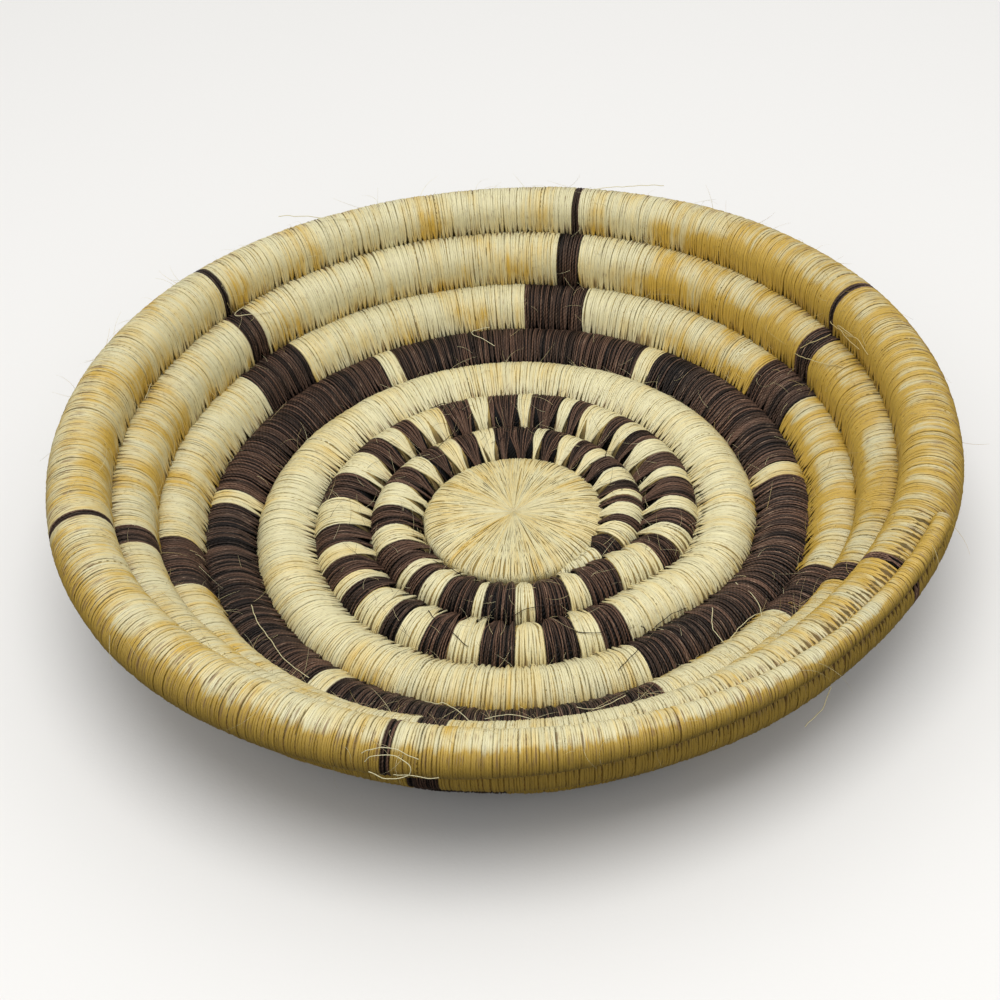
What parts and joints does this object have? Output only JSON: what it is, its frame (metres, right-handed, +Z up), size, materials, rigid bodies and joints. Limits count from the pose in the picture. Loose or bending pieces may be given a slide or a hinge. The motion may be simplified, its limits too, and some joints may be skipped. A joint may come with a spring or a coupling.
{
  "type": "coiled wall basket",
  "caption": "Shallow round bowl basket, coiled from one wrapped grass core, with brown stripes on the floor and thinning brown arms up a slanted wall.",
  "frame": {"origin": "middle of the flat underside of the centre button, on the surface that the basket stands on", "axes": "+Z up out of the bowl's mouth; -Y towards the viewer of the picture; +X to that viewer's right"},
  "size_m": [0.2632, 0.259, 0.0552],
  "materials": {
    "natural_fibre": "silky plant fibre, undyed cream to gold",
    "brown_fibre": "silky plant fibre, dyed dark brown",
    "dry_grass": "matt bundle of dry grass, covered by the wraps"
  },
  "bodies": {
    "root": {"foundation_core": "dry_grass", "centre_button": "natural_fibre", "natural_stripes": "natural_fibre", "plain_round": "natural_fibre", "dark_round_gap_1": "natural_fibre", "dark_round_gap_2": "natural_fibre", "dark_round_gap_3": "natural_fibre", "dark_round_gap_4": "natural_fibre", "dark_round_gap_5": "natural_fibre", "natural_run_01": "natural_fibre", "natural_run_02": "natural_fibre", "natural_run_03": "natural_fibre", "natural_run_04": "natural_fibre", "natural_run_05": "natural_fibre", "natural_run_06": "natural_fibre", "natural_run_07": "natural_fibre", "natural_run_08": "natural_fibre", "natural_run_09": "natural_fibre", "natural_run_10": "natural_fibre", "natural_run_11": "natural_fibre", "natural_run_12": "natural_fibre", "natural_run_13": "natural_fibre", "natural_run_14": "natural_fibre", "natural_run_15": "natural_fibre", "natural_run_16": "natural_fibre", "natural_run_17": "natural_fibre", "natural_run_18": "natural_fibre", "natural_run_19": "natural_fibre", "brown_stripes": "brown_fibre", "dark_run_1": "brown_fibre", "dark_run_2": "brown_fibre", "dark_run_3": "brown_fibre", "dark_run_4": "brown_fibre", "dark_run_5": "brown_fibre", "dark_run_6": "brown_fibre", "wall_block_1": "brown_fibre", "wall_block_2": "brown_fibre", "wall_block_3": "brown_fibre", "wall_block_4": "brown_fibre", "wall_block_5": "brown_fibre", "wall_block_6": "brown_fibre", "wall_bar_1": "brown_fibre", "wall_bar_2": "brown_fibre", "wall_bar_3": "brown_fibre", "wall_bar_4": "brown_fibre", "wall_bar_5": "brown_fibre", "wall_bar_6": "brown_fibre", "rim_line_1": "brown_fibre", "rim_line_2": "brown_fibre", "rim_line_3": "brown_fibre", "rim_line_4": "brown_fibre", "rim_line_5": "brown_fibre", "rim_line_6": "brown_fibre"}
  },
  "joints": []
}
